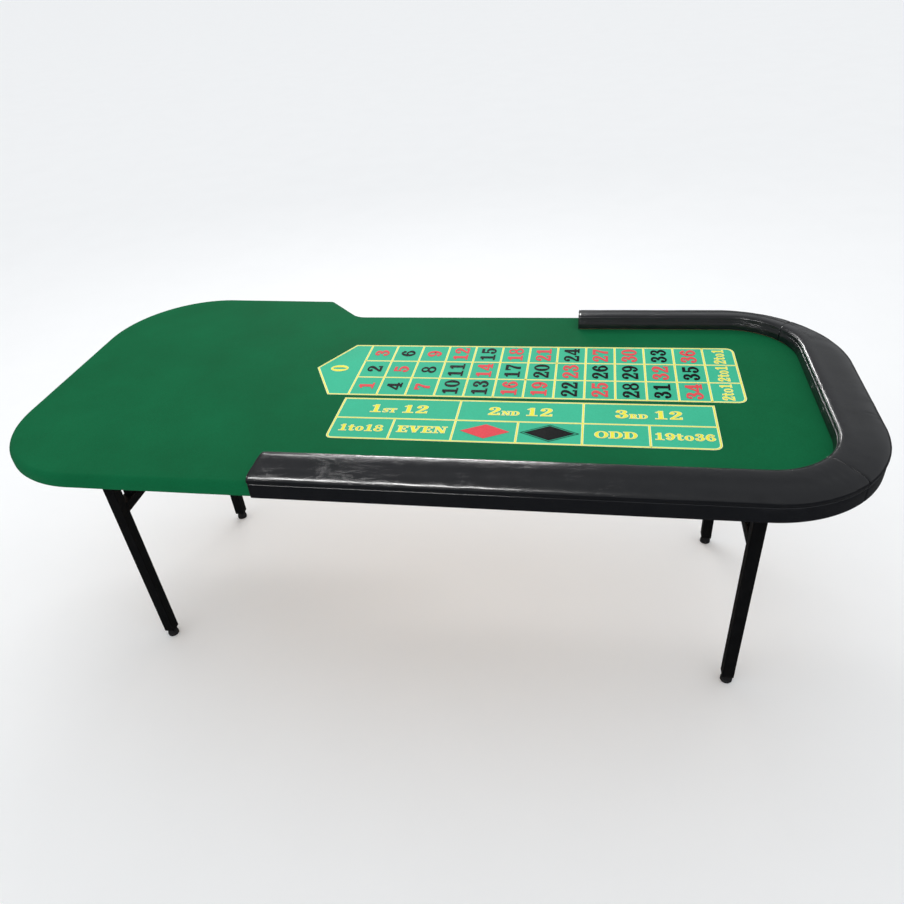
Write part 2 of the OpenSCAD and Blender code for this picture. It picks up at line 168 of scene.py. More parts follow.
def makeGrainGroup():
    # long grain with darker late wood and open pores
    inputs = {"Ring Scale": 22.0, "Pore Scale": 320.0}
    group, start, end = newGroup("timberGrain", inputs, ["Shade", "Height"])
    along = stretched(group, (0.06, 1, 1))
    rings = noiseAt(group, along, start.outputs["Ring Scale"], 4.0, 0.6, 1.2)
    pores = noiseAt(group, stretched(group, (0.05, 1, 1)), start.outputs["Pore Scale"], 2.0)
    phase = doMath(group, "MULTIPLY", rings, 38.0)
    bands = addNode(group, "ShaderNodeMath", {0: phase}, operation="SINE").outputs[0]
    lateWood = spreadOut(group, bands, -1.0, 1.0, 0.0, 0.55)
    openPores = spreadOut(group, pores, 0.3, 0.7, 0.0, 0.45)
    group.links.new(doMath(group, "ADD", lateWood, openPores), end.inputs["Shade"])
    group.links.new(pores, end.inputs["Height"])
    return group


groups = {
    "nap": makeNapGroup(),
    "hide": makeHideGroup(),
    "handling": makeHandlingGroup(),
    "grain": makeGrainGroup(),
}



def startMaterial(name, fixed):
    material = bpy.data.materials.new(name)
    material.use_nodes = True
    tree = material.node_tree
    shader = tree.nodes["Principled BSDF"]
    for socket, value in fixed.items():
        shader.inputs[socket].default_value = value
    return material, tree, shader


def useGroup(tree, group, values=None):
    node = addNode(tree, "ShaderNodeGroup")
    node.node_tree = groups[group]
    for socket, value in (values or {}).items():
        node.inputs[socket].default_value = value
    return node


def blendColours(tree, factor, first, second):
    node = addNode(tree, "ShaderNodeMix", data_type="RGBA")
    tree.links.new(factor, node.inputs[0])
    for socket, value in ((6, first), (7, second)):
        if isinstance(value, bpy.types.NodeSocket):
            tree.links.new(value, node.inputs[socket])
        else:
            node.inputs[socket].default_value = (*value, 1)
    return node.outputs[2]


def raiseSurface(tree, shader, height, distance, strength=1.0):
    bump = addNode(tree, "ShaderNodeBump", {"Height": height, "Distance": distance, "Strength": strength})
    tree.links.new(bump.outputs["Normal"], shader.inputs["Normal"])


def clothMaterial(name, dark, light, rough=(0.82, 0.97), sheen=0.012, bump=0.0005):
    fixed = {"Sheen Weight": sheen, "Sheen Roughness": 0.45, "Specular IOR Level": 0.03}
    material, tree, shader = startMaterial(name, fixed)
    nap = useGroup(tree, "nap")
    tree.links.new(blendColours(tree, nap.outputs["Shade"], dark, light), shader.inputs["Base Color"])
    tree.links.new(spreadOut(tree, nap.outputs["Shade"], 0.0, 1.0, *rough), shader.inputs["Roughness"])
    raiseSurface(tree, shader, nap.outputs["Height"], bump)
    return material


def hideMaterial(name, dark, light, rough, bump=0.0004):
    fixed = {"Specular IOR Level": 0.5, "Coat Roughness": 0.10}
    material, tree, shader = startMaterial(name, fixed)
    hide = useGroup(tree, "hide")
    tree.links.new(blendColours(tree, hide.outputs["Mottle"], dark, light), shader.inputs["Base Color"])
    tree.links.new(spreadOut(tree, hide.outputs["Mottle"], 0.25, 0.75, *rough), shader.inputs["Roughness"])
    coat = spreadOut(tree, hide.outputs["Crease"], 0.0, 1.0, 0.25, 0.05)
    tree.links.new(coat, shader.inputs["Coat Weight"])
    raiseSurface(tree, shader, hide.outputs["Height"], bump, 0.7)
    return material


def hardMaterial(name, base, worn, metallic, rough, amount=0.5, bump=0.00012):
    # paint, plating, plastic or rubber
    material, tree, shader = startMaterial(name, {"Metallic": metallic, "Specular IOR Level": 0.16})
    handling = useGroup(tree, "handling", {"Amount": amount})
    dusty = blendColours(tree, handling.outputs["Dust"], base, [c * 1.3 + 0.001 for c in base])
    tree.links.new(blendColours(tree, handling.outputs["Scuff"], dusty, worn), shader.inputs["Base Color"])
    tree.links.new(spreadOut(tree, handling.outputs["Dust"], 0.0, 1.0, *rough), shader.inputs["Roughness"])
    raiseSurface(tree, shader, handling.outputs["Height"], bump, 0.6)
    return material


def timberMaterial(name, dark, light):
    material, tree, shader = startMaterial(name, {"Specular IOR Level": 0.3})
    grain = useGroup(tree, "grain")
    tree.links.new(blendColours(tree, grain.outputs["Shade"], dark, light), shader.inputs["Base Color"])
    tree.links.new(spreadOut(tree, grain.outputs["Shade"], 0.0, 1.0, 0.7, 0.52), shader.inputs["Roughness"])
    raiseSurface(tree, shader, grain.outputs["Height"], 0.0004, 0.7)
    return material


paints = {
    "cloth": clothMaterial("greenCloth", (0.0030, 0.104, 0.036), (0.0055, 0.140, 0.052)),
    "field": clothMaterial("turquoiseInk", (0.044, 0.44, 0.255), (0.060, 0.53, 0.32), (0.6, 0.8), 0.02),
    "edge": clothMaterial("creamInk", (0.80, 0.86, 0.50), (0.93, 0.96, 0.66), (0.55, 0.75), 0.03),
    "core": clothMaterial("yellowInk", (0.82, 0.76, 0.05), (0.93, 0.88, 0.10), (0.55, 0.75), 0.03),
    "red": clothMaterial("redInk", (0.70, 0.060, 0.075), (0.86, 0.095, 0.11), (0.55, 0.75), 0.03),
    "black": clothMaterial("blackInk", (0.0022, 0.0026, 0.0034), (0.0052, 0.0056, 0.0064), (0.5, 0.7), 0.03),
    "hide": hideMaterial("blackLeatherette", (0.0035, 0.004, 0.0055), (0.007, 0.0078, 0.010), (0.17, 0.27)),
    # piping of the rail's leatherette, with a base colour lighter than the rail's: painted highlight for the
    # light lines along the seams
    "welt": hideMaterial(
        "weltLeatheretteWithPaintedHighlight", (0.010, 0.011, 0.013), (0.018, 0.019, 0.022), (0.12, 0.20), 0.0001,
    ),
    "tube": hardMaterial("blackCoat", (0.0035, 0.0035, 0.004), (0.03, 0.03, 0.03), 0.0, (0.3, 0.5), 0.25),
    "bracket": hardMaterial("darkSteel", (0.045, 0.045, 0.05), (0.30, 0.30, 0.31), 0.85, (0.35, 0.55), 0.5),
    "zinc": hardMaterial("zincPlate", (0.50, 0.50, 0.52), (0.70, 0.70, 0.72), 1.0, (0.26, 0.45), 0.5),
    "plug": hardMaterial("mouldedPlug", (0.016, 0.016, 0.017), (0.05, 0.05, 0.05), 0.0, (0.45, 0.65), 0.4),
    "rubber": hardMaterial(
        "footRubber", (0.014, 0.014, 0.015), (0.07, 0.07, 0.068), 0.0, (0.62, 0.85), 0.6, 0.0003,
    ),
    "timber": timberMaterial("bareTimber", (0.33, 0.20, 0.095), (0.55, 0.37, 0.20)),
}
print("materials made:", len(paints))

nodePaints = {
    "tube": ["front_leg", "back_leg", "cross_tube", "posts", "hinge_tube"],
    "bracket": ["hinge_plugs", "brackets", "stay_tabs", "upper_links", "lower_links"],
    "zinc": ["bracket_screws", "hinge_bolts", "tab_screws", "tab_rivets", "stay_rivets", "knee_pins"],
    "plug": ["foot_plugs"],
    "rubber": ["front_foot", "back_foot"],
}
topPaints = {
    "zinc": ["edge_band_screws", "rail_screws"],
    "timber": ["board", "edge_band", "front_rail_core", "end_rail_core", "back_rail_core"],
}


def paintNode(node, paint):
    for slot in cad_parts[node].material_slots:
        slot.material = paints[paint]


for paint, names in nodePaints.items():
    for side in ("left", "right"):
        for name in names:
            paintNode(side + "_" + name, paint)
for paint, names in topPaints.items():
    for name in names:
        paintNode(name, paint)



def makePiece(name, verts, faces, paint, smooth=True):
    mesh = bpy.data.meshes.new(name)
    mesh.from_pydata(verts, [], faces)
    work = bmesh.new()
    work.from_mesh(mesh)
    bmesh.ops.recalc_face_normals(work, faces=work.faces)
    work.to_mesh(mesh)
    work.free()
    for face in mesh.polygons:
        face.use_smooth = smooth
    piece = bpy.data.objects.new(name, mesh)
    bpy.context.scene.collection.objects.link(piece)
    mesh.materials.append(paints[paint])
    return piece


def useModifier(piece, kind, **settings):
    modifier = piece.modifiers.new(kind, kind)
    for key, value in settings.items():
        setattr(modifier, key, value)
    with bpy.context.temp_override(object=piece, active_object=piece, selected_objects=[piece]):
        bpy.ops.object.modifier_apply(modifier=modifier.name)


def lineTo(start, end):
    return lambda t: (start[0] + (end[0] - start[0]) * t, start[1] + (end[1] - start[1]) * t)


def arcOf(centre, radius, fromAngle, toAngle):
    def point(t):
        angle = math.radians(fromAngle + (toAngle - fromAngle) * t)
        return (centre[0] + radius * math.cos(angle), centre[1] + radius * math.sin(angle))
    return point


def tableOutline(inset):
    # the table's edge drawn in by inset, always with the same number of points
    bend = math.tan(math.radians(22.5))
    front = plan["frontRadius"]
    back = plan["backRadius"]
    ramp = max(plan["rampRadius"] - inset, 0.002)
    fillet = plan["filletRadius"] + inset
    line = plan["notchX"] + rampY - inset * math.sqrt(2)
    topX = line - (rampY - inset)
    lowX = line - (backY - inset)
    corners = [
        (arcOf((leftX + front, frontY + front), front - inset, 180, 270), 26, 70),
        (arcOf((rightX - front, frontY + front), front - inset, 270, 360), 26, 14),
        (arcOf((rightX - back, backY - back), back - inset, 0, 90), 26, 46),
        (arcOf((lowX + fillet * bend, backY - inset + fillet), fillet, 270, 225), 12, 5),
        (arcOf((topX - ramp * bend, rampY - inset - ramp), ramp, 45, 90), 7, 14),
        (arcOf((leftX + back, wheelY - back), back - inset, 90, 180), 26, 20),
    ]
    points = []
    for k, (corner, arcCount, lineCount) in enumerate(corners):
        points += [corner(t / arcCount) for t in range(arcCount + 1)]
        straight = lineTo(corner(1), corners[(k + 1) % len(corners)][0](0))
        points += [straight(t / lineCount) for t in range(1, lineCount)]
    return points


cloth = {
    "topRound": 0.018,
    "bottomRound": 0.010,
    "hem": 0.032,
    "thickness": 0.0012,
    "hemWave": 0.0035,
    "edgeWave": 0.00035,
}


def buildCloth():
    profile = [(0.100, feltZ), (0.040, feltZ)]
    top = cloth["topRound"]
    low = cloth["bottomRound"]
    for k in range(9):
        a = math.radians(90 * k / 8)
        profile.append((top * (1 - math.sin(a)), feltZ - top * (1 - math.cos(a))))
    for k in range(6):
        a = math.radians(90 * k / 5)
        profile.append((low * (1 - math.cos(a)), edgeZ + low * (1 - math.sin(a))))
    profile.append((cloth["hem"], edgeZ))
    verts = []
    for ring, (inset, z) in enumerate(profile):
        nearby = tableOutline(inset - cloth["hemWave"])
        for (x, y), (outX, outY) in zip(tableOutline(inset), nearby):
            wave = noise.noise(Vector((x * 14, y * 14, 3.1)))
            if ring == len(profile) - 1:
                x += (outX - x) * wave
                y += (outY - y) * wave
            elif ring > 4:
                x += wave * cloth["edgeWave"]
                y += noise.noise(Vector((x * 11, y * 11, 8.7))) * cloth["edgeWave"]
            verts.append((x, y, z))
    count = len(tableOutline(0))
    faces = [list(range(count))]
    for ring in range(len(profile) - 1):
        for k in range(count):
            a = ring * count + k
            b = ring * count + (k + 1) % count
            faces.append((a, b, b + count, a + count))
    piece = makePiece("playingCloth", verts, faces, "cloth")
    useModifier(piece, "SOLIDIFY", thickness=cloth["thickness"], offset=-1)
    outline = tableOutline(0)
    area = 0.0
    around = 0.0
    for k, (x, y) in enumerate(outline):
        nextX, nextY = outline[(k + 1) % count]
        area += (x * nextY - nextX * y) / 2
        around += math.hypot(nextX - x, nextY - y)
    wrap = feltZ - edgeZ + cloth["hem"] - (top + low) * (2 - math.pi / 2)
    return piece, area + around * wrap, wrap


clothPiece, clothArea, clothWrap = buildCloth()
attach(clothPiece, "top")
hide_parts("cloth", "underlay", "edge_foam")
print("cloth: cut area", round(clothArea, 3), "wrap", round(clothWrap, 4))



layout = {
    "x0": -0.2245,       # front left corner of the number grid
    "y0": -0.1165,
    "cellX": 0.087,
    "cellY": 0.1024,
    "columnEnd": 13.03,  # right end of the column bets, in cells
    "line": 0.0068,
    "lineCore": 0.0032,
    "lift": 0.00025,
    "apart": 0.00002,
    "corner": 0.025,
    "blockTop": -0.22,
    "blockMid": -1.22,
    "blockLow": -2.20,
}
redNumbers = {1, 3, 5, 7, 9, 12, 14, 16, 18, 19, 21, 23, 25, 27, 30, 32, 34, 36}


class Ink:
    # flat faces of one colour, one layer up the cloth
    def __init__(self, name, paint, layer):
        self.name = name
        self.paint = paint
        self.z = feltZ + layout["lift"] * layer
        self.verts = []
        self.faces = []
        self.drawn = 0

    def height(self):
        # overlapping shapes of one ink never share a plane
        self.drawn += 1
        return self.z + layout["apart"] * (self.drawn % 7)

    def polygon(self, points):
        start = len(self.verts)
        z = self.height()
        self.verts += [(x, y, z) for x, y in points]
        self.faces.append(list(range(start, start + len(points))))

    def strip(self, left, right, closed=False):
        count = len(left)
        start = len(self.verts)
        z = self.height()
        self.verts += [(x, y, z) for x, y in left + right]
        for k in range(count if closed else count - 1):
            n = (k + 1) % count
            self.faces.append((start + k, start + n, start + count + n, start + count + k))

    def ribbon(self, points, width, closed=False):
        # a line of even width with mitred corners
        left, right = [], []
        count = len(points)
        for k, (x, y) in enumerate(points):
            before = points[k - 1] if closed or k > 0 else points[k]
            after = points[(k + 1) % count] if closed or k < count - 1 else points[k]
            a = Vector((x - before[0], y - before[1]))
            b = Vector((after[0] - x, after[1] - y))
            a = a.normalized() if a.length > 1e-9 else b.normalized()
            b = b.normalized() if b.length > 1e-9 else a
            side = Vector((-a.y - b.y, a.x + b.x)).normalized()
            reach = width / 2 / max(side.dot(Vector((-a.y, a.x))), 0.4)
            left.append((x + side.x * reach, y + side.y * reach))
            right.append((x - side.x * reach, y - side.y * reach))
        self.strip(left, right, closed)

    def finish(self):
        piece = makePiece(self.name, self.verts, self.faces, self.paint, smooth=False)
        for face in piece.data.polygons:
            if face.normal.z < 0:
                face.flip()
        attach(piece, "top")
        return piece


def cell(u, v):
    return (layout["x0"] + layout["cellX"] * u, layout["y0"] + layout["cellY"] * v)


def roundCorner(corner, before, after, radius):
    # points of a rounded corner between two straight sides
    c = Vector(corner)
    a = (Vector(before) - c).normalized()
    b = (Vector(after) - c).normalized()
    points = []
    for k in range(9):
        t = k / 8
        p = c + a * radius * (1 - t) ** 2 + b * radius * t ** 2
        points.append((p.x, p.y))
    return points


def roundedShape(corners, radii):
    points = []
    for k, corner in enumerate(corners):
        if radii[k]:
            points += roundCorner(corner, corners[k - 1], corners[(k + 1) % len(corners)], radii[k])
        else:
            points.append(corner)
    return points


field = Ink("printFields", "field", 1)
lines = Ink("printLines", "edge", 2)
lineCores = Ink("printLineCores", "core", 3)
darkFigures = Ink("printBlack", "black", 3)
redFigures = Ink("printRed", "red", 3)
paleFigures = Ink("printLetterEdges", "edge", 3)
yellowFigures = Ink("printLetters", "core", 4)


def buildFields():
    end = layout["columnEnd"]
    r = layout["corner"]
    grid = [cell(-0.72, 0), cell(end, 0), cell(end, 3), cell(-0.63, 3), cell(-1.64, 1.52)]
    top, middle, low = layout["blockTop"], layout["blockMid"], layout["blockLow"]
    block = [cell(u, v) for u, v in ((0, top), (0, low), (12, low), (12, top))]
    gridEdge = roundedShape(grid, [0, r, r, 0, 0])
    blockEdge = roundedShape(block, [0, r * 0.7, r * 0.9, 0])
    for edge in (gridEdge, blockEdge):
        field.polygon(edge)
    rules = [[cell(u, 0), cell(u, 3)] for u in range(13)]
    rules += [[cell(0, v), cell(end, v)] for v in (1, 2)]
    rules += [[cell(0, middle), cell(12, middle)]]
    rules += [[cell(u, top), cell(u, low)] for u in (4, 8)]
    rules += [[cell(u, middle), cell(u, low)] for u in (2, 6, 10)]
    for ink, width in ((lines, layout["line"]), (lineCores, layout["lineCore"])):
        for edge in (gridEdge, blockEdge):
            ink.ribbon(edge, width, closed=True)
        for rule in rules:
            ink.ribbon(rule, width)


# Slab serif figures on a unit cap height: strokes (x, y, width), bars (x0, y0, x1, y1), rings and dots
bowl = [(.17, .53, .07), (.32, .61, .09), (.51, .50, .18), (.54, .28, .20), (.42, .08, .12), (.27, .045, .09),
        (.13, .12, .08), (.10, .24, .08)]
hook = [(.53, .82, .08), (.40, .955, .09), (.22, .84, .15), (.12, .50, .20), (.17, .20, .17),
        (.33, .045, .09), (.49, .15, .15), (.55, .32, .19), (.46, .52, .12), (.33, .58, .08), (.20, .50, .07)]
figures = {
    "0": {"wide": .66, "rings": [(.33, .5, .33, .5, .20, .07, 0, 360)]},
    "1": {"wide": .66, "bars": [(.25, 0, .45, 1), (.08, 0, .62, .09)],
          "strokes": [[(.33, .94, .11), (.12, .79, .09)]]},
    "2": {"wide": .68, "bars": [(.07, 0, .62, .13), (.55, 0, .64, .26)], "dots": [(.17, .72, .11)],
          "strokes": [[(.12, .72, .08), (.17, .88, .09), (.34, .955, .09), (.52, .86, .17), (.52, .66, .20),
                       (.35, .40, .14), (.12, .12, .09)]]},
    "3": {"wide": .66, "dots": [(.17, .77, .10), (.15, .25, .11)],
          "strokes": [[(.12, .78, .08), (.18, .92, .09), (.33, .955, .09), (.50, .85, .17), (.47, .65, .15),
                       (.28, .54, .08)],
                      [(.28, .54, .08), (.50, .45, .15), (.55, .27, .20), (.42, .08, .12), (.28, .045, .09),
                       (.13, .12, .08), (.10, .24, .08)]]},
    "4": {"wide": .70, "bars": [(.0, .22, .68, .32), (.38, 0, .57, 1), (.25, 0, .69, .08)],
          "strokes": [[(.45, .97, .10), (.25, .62, .10), (.05, .28, .10)]]},
    "5": {"wide": .66, "bars": [(.13, .84, .58, 1), (.13, .48, .21, .95)],
          "dots": [(.15, .25, .11)], "strokes": [bowl]},
    "6": {"wide": .66, "dots": [(.50, .80, .10)], "strokes": [hook]},
    "7": {"wide": .66, "bars": [(.06, .84, .60, 1), (.06, .68, .14, 1)],
          "strokes": [[(.57, .87, .10), (.40, .52, .14), (.30, .22, .19), (.29, .0, .21)]]},
    "8": {"wide": .68, "rings": [(.34, .745, .27, .255, .14, .07, 0, 360),
                                 (.34, .27, .33, .27, .17, .08, 0, 360)]},
    "9": {"wide": .66, "dots": [(.16, .20, .10)], "strokes": [[(.66 - x, 1 - y, w) for x, y, w in hook]]},
    "E": {"wide": .72, "bars": [(.10, 0, .31, 1), (0, .91, .68, 1), (0, 0, .68, .09), (.3, .46, .5, .54),
                                (.60, .70, .68, 1), (.60, 0, .68, .30), (.45, .37, .52, .63)]},
    "V": {"wide": .82, "bars": [(0, .91, .36, 1), (.54, .91, .82, 1)],
          "strokes": [[(.17, .96, .21), (.43, .02, .21)], [(.44, .02, .09), (.68, .96, .09)]]},
    "N": {"wide": .86, "bars": [(.11, 0, .19, 1), (.67, .03, .75, 1), (0, .91, .28, 1), (0, 0, .32, .09),
                                (.54, .91, .86, 1)],
          "strokes": [[(.19, .95, .21), (.66, .05, .21)]]},
    "O": {"wide": .82, "rings": [(.41, .5, .41, .51, .20, .07, 0, 360)]},
    "D": {"wide": .84, "bars": [(.10, 0, .31, 1), (0, .91, .44, 1), (0, 0, .44, .09)],
          "rings": [(.42, .5, .40, .5, .20, .09, -90, 90)]},
    "S": {"wide": .64, "bars": [(.50, .70, .57, .97), (.06, .03, .13, .30)],
          "strokes": [[(.53, .78, .08), (.40, .945, .09), (.22, .90, .12), (.14, .74, .17), (.28, .56, .19),
                       (.46, .42, .19), (.52, .24, .16), (.40, .07, .10), (.24, .05, .09), (.10, .20, .08)]]},
    "T": {"wide": .74, "bars": [(.26, 0, .47, 1), (0, .91, .73, 1), (0, .66, .08, 1), (.65, .66, .73, 1),
                                (.13, 0, .60, .09)]},
    "R": {"wide": .80, "bars": [(.10, 0, .31, 1), (0, .91, .42, 1), (0, 0, .44, .09), (.25, .46, .40, .54)],
          "rings": [(.40, .73, .27, .27, .18, .09, -90, 90)],
          "strokes": [[(.42, .50, .12), (.55, .34, .18), (.60, .10, .17), (.76, .04, .08)]]},
    "t": {"wide": .50, "bars": [(.13, .10, .31, .92), (0, .60, .46, .69)],
          "strokes": [[(.22, .16, .18), (.30, .05, .11), (.47, .12, .07)]]},
    " ": {"wide": .20},
    "o": {"wide": .60, "rings": [(.30, .35, .29, .36, .17, .07, 0, 360)]},
}


def curveThrough(points, steps=5):
    # a smooth curve through (x, y, width) points
    if len(points) < 3:
        return points
    ends = [points[0]] + points + [points[-1]]
    curve = []
    for k in range(1, len(ends) - 2):
        p0, p1, p2, p3 = ends[k - 1:k + 3]
        for s in range(steps):
            t = s / steps
            curve.append(tuple(
                0.5 * (2 * b + (c - a) * t + (2 * a - 5 * b + 4 * c - d) * t * t
                       + (3 * b - a - 3 * c + d) * t ** 3)
                for a, b, c, d in zip(p0, p1, p2, p3)))
    return curve + [points[-1]]


def drawFigure(ink, name, place, grow):
    # place turns a point of the figure into one on the cloth; grow makes it fatter all round
    figure = figures[name]
    for stroke in figure.get("strokes", []):
        left, right = [], []
        path = curveThrough(stroke)
        for k, (x, y, width) in enumerate(path):
            before = path[max(k - 1, 0)]
            after = path[min(k + 1, len(path) - 1)]
            along = Vector((after[0] - before[0], after[1] - before[1])).normalized()
            push = grow if k == len(path) - 1 else -grow if k == 0 else 0
            x, y = x + along.x * push, y + along.y * push
            half = width / 2 + grow
            left.append(place(x - along.y * half, y + along.x * half))
            right.append(place(x + along.y * half, y - along.x * half))
        ink.strip(left, right)
    for x0, y0, x1, y1 in figure.get("bars", []):
        x0, y0, x1, y1 = x0 - grow, y0 - grow, x1 + grow, y1 + grow
        corners = [(x0, y0), (x1, y0), (x1, y1), (x0, y1)]
        ink.polygon([place(*corner) for corner in corners])
    for cx, cy, rx, ry, side, top, fromAngle, toAngle in figure.get("rings", []):
        outer, inner = [], []
        for k in range(33):
            angle = math.radians(fromAngle + (toAngle - fromAngle) * k / 32)
            c, s = math.cos(angle), math.sin(angle)
            outer.append(place(cx + (rx + grow) * c, cy + (ry + grow) * s))
            inner.append(place(cx + (rx - side - grow) * c, cy + (ry - top - grow) * s))
        ink.strip(outer, inner)
    for x, y, r in figure.get("dots", []):
        circle = [arcOf((x, y), r + grow, 0, 360)(k / 20) for k in range(20)]
        ink.polygon([place(*point) for point in circle])


def write(words, centre, height, stretch, turned=False, inks=None, gap=0.07):
    # words is a list of (letters, share of the height); turned figures read towards the dealer
    runs = [(letter, share) for letters, share in words for letter in letters]
    length = sum((figures[letter]["wide"] + gap) * share for letter, share in runs) - gap * runs[-1][1]
    along = -length * height * stretch / 2
    for letter, share in runs:
        size = height * share

        def place(x, y, size=size, along=along):
            reading = along + x * size * stretch
            rise = y * size - height / 2
            if turned:
                return (centre[0] - rise, centre[1] + reading)
            return (centre[0] + reading, centre[1] + rise)

        for ink, grow in inks:
            drawFigure(ink, letter, place, grow / size)
        along += (figures[letter]["wide"] + gap) * size * stretch


wording = {
    # cap height and stretch along the line
    "numbers": (0.045, 1.28),
    "zero": (0.056, 1.0),
    "columns": (0.032, 1.04),
    "dozens": (0.040, 1.34),
    "smallCapitals": 0.52,
    "evensHeight": 0.031,
    "evens": [(1, "1to18", 1.22), (3, "EVEN", 1.34), (9, "ODD", 1.34), (11, "19to36", 1.20)],
    "numberWeight": 0.0009,
    "paleEdge": 0.0012,
    "diamond": (0.068, 0.034),
    "redDiamond": 5,
    "blackDiamond": 7,
    "blackRim": (1.17, 1.10),
}


def diamond(u, v, size):
    x, y = cell(u, v)
    wide, tall = (half * size for half in wording["diamond"])
    return [(x - wide, y), (x, y - tall), (x + wide, y), (x, y + tall)]


def buildFigures():
    for number in range(1, 37):
        column, row = divmod(number - 1, 3)
        ink = redFigures if number in redNumbers else darkFigures
        write([(str(number), 1)], cell(column + 0.5, row + 0.5), *wording["numbers"],
              turned=True, inks=[(ink, wording["numberWeight"])])
    lettering = [(paleFigures, wording["paleEdge"]), (yellowFigures, 0)]
    write([("0", 1)], cell(-0.82, 1.5), *wording["zero"], turned=True, inks=lettering)
    columnU = (12 + layout["columnEnd"]) / 2
    for row in range(3):
        write([("2to1", 1)], cell(columnU, row + 0.5), *wording["columns"], turned=True, inks=lettering)
    dozenV = (layout["blockTop"] + layout["blockMid"]) / 2
    for k, (figure, small) in enumerate((("1", "ST"), ("2", "ND"), ("3", "RD"))):
        words = [(figure, 1), (small, wording["smallCapitals"]), (" 12", 1)]
        write(words, cell(2 + 4 * k, dozenV), *wording["dozens"], inks=lettering)
    evenV = (layout["blockMid"] + layout["blockLow"]) / 2
    for u, letters, stretch in wording["evens"]:
        write([(letters, 1)], cell(u, evenV), wording["evensHeight"], stretch, inks=lettering)
    redFigures.polygon(diamond(wording["redDiamond"], evenV, 1.0))
    darkFigures.polygon(diamond(wording["blackDiamond"], evenV, 1.0))
    rim = [diamond(wording["blackDiamond"], evenV, size) for size in wording["blackRim"]]
    darkFigures.strip(*rim, closed=True)


buildFields()
buildFigures()
inks = (field, lines, lineCores, darkFigures, redFigures, paleFigures, yellowFigures)
printPieces = [ink.finish() for ink in inks]
print("print laid:", sum(len(piece.data.polygons) for piece in printPieces), "faces")



rail = {
    "width": 0.104,
    "endWidth": 0.134,
    "innerRadius": 0.180,
    "frontEnd": -0.345,
    "frontSlant": 0.022,       # the free end is cut longer on its outer side
    "backEnd": 0.444,
    "apex": (0.776, -0.207),   # where both mitre seams would meet
    "frontSeam": -37.5,
    "backSeam": 59.0,
    "gap": 0.0004,
    "near": 0.0055,
    "step": 0.008,
    "wrinkle": 0.0007,
    "pucker": 0.0005,
    "tuck": 0.0026,
    "rippleScale": 22,
    "fineScale": 70,
    "patchScale": 4,
    "puckerScale": 90,
}
railInX = -leftX - rail["endWidth"]
railInFront = frontY - plan["railLip"] + rail["width"]
railInBack = backY + plan["railLip"] - rail["width"]

# Across the rail: distances in from the outer face, then from the inner side, with heights over the cloth
outerSide = [
    (.0210, -.0458), (.0130, -.0459), (.0060, -.0457), (.0024, -.0447), (.0006, -.0425), (.0, -.0385),
    (.0, -.030), (.0, -.021), (.0, -.013), (.0002, -.0065), (.0011, -.0028), (.0018, -.0004),
    (.0010, .0022), (-.0006, .0050), (-.0018, .0085), (-.0020, .0120), (-.0012, .0153), (.0006, .0184),
    (.0036, .0214), (.0078, .0243), (.0130, .0269), (.0190, .0292), (.0260, .0313), (.0350, .0334),
    (.0440, .0353),
]
innerSide = [
    (.0480, .0400), (.0410, .0413), (.0340, .0423), (.0275, .0429), (.0220, .0429), (.0175, .0423),
    (.0140, .0411), (.0113, .0392), (.0096, .0366), (.0087, .0334), (.0077, .0295), (.0058, .0240),
    (.0034, .0185), (.0023, .0120), (.0014, .0065), (.0008, .0025), (.0004, .0006),
]
closing = [(.0028, .0006, "outer"), (.0028, -.0440, "outer"), (.0210, -.0440, "outer")]


def seamAngle(centre, radius, seam):
    # where a seam's line from the apex meets a corner's circle
    across = (math.cos(math.radians(seam)), math.sin(math.radians(seam)))
    start = (rail["apex"][0] - centre[0], rail["apex"][1] - centre[1])
    b = start[0] * across[0] + start[1] * across[1]
    c = start[0] ** 2 + start[1] ** 2 - radius ** 2
    t = -b + math.sqrt(b * b - c)
    return math.degrees(math.atan2(start[1] + t * across[1], start[0] + t * across[0]))


def railRuns(name):
    # matched stretches of the outer face and the inner side: lines and corners
    lip = plan["railLip"]
    front, back, inner = plan["frontRadius"], plan["backRadius"], rail["innerRadius"]
    outerFront = ((rightX - front, frontY + front), front + lip)
    outerBack = ((rightX - back, backY - back), back + lip)
    innerFront = ((railInX - inner, railInFront + inner), inner)
    innerBack = ((railInX - inner, railInBack - inner), inner)
    seams = {}
    for key, corner, seam in (("of", outerFront, "frontSeam"), ("if", innerFront, "frontSeam"),
                              ("ob", outerBack, "backSeam"), ("ib", innerBack, "backSeam")):
        seams[key] = seamAngle(*corner, rail[seam])
    if name == "front":
        outerY, innerY = frontY - lip, railInFront
        outerStart = (rail["frontEnd"] - rail["frontSlant"], outerY)
        outerLine = lineTo(outerStart, (outerFront[0][0], outerY))
        innerLine = lineTo((rail["frontEnd"], innerY), (innerFront[0][0], innerY))
        return [
            (outerLine, innerLine),
            (arcOf(*outerFront, -90, seams["of"]), arcOf(*innerFront, -90, seams["if"])),
        ]
    if name == "end":
        outerX = rightX + lip
        outerLine = lineTo((outerX, outerFront[0][1]), (outerX, outerBack[0][1]))
        innerLine = lineTo((railInX, innerFront[0][1]), (railInX, innerBack[0][1]))
        return [
            (arcOf(*outerFront, seams["of"], 0), arcOf(*innerFront, seams["if"], 0)),
            (outerLine, innerLine),
            (arcOf(*outerBack, 0, seams["ob"]), arcOf(*innerBack, 0, seams["ib"])),
        ]
    outerY, innerY = backY + lip, railInBack
    outerLine = lineTo((outerBack[0][0], outerY), (rail["backEnd"], outerY))
    innerLine = lineTo((innerBack[0][0], innerY), (rail["backEnd"], innerY))
    return [
        (arcOf(*outerBack, seams["ob"], 90), arcOf(*innerBack, seams["ib"], 90)),
        (outerLine, innerLine),
    ]


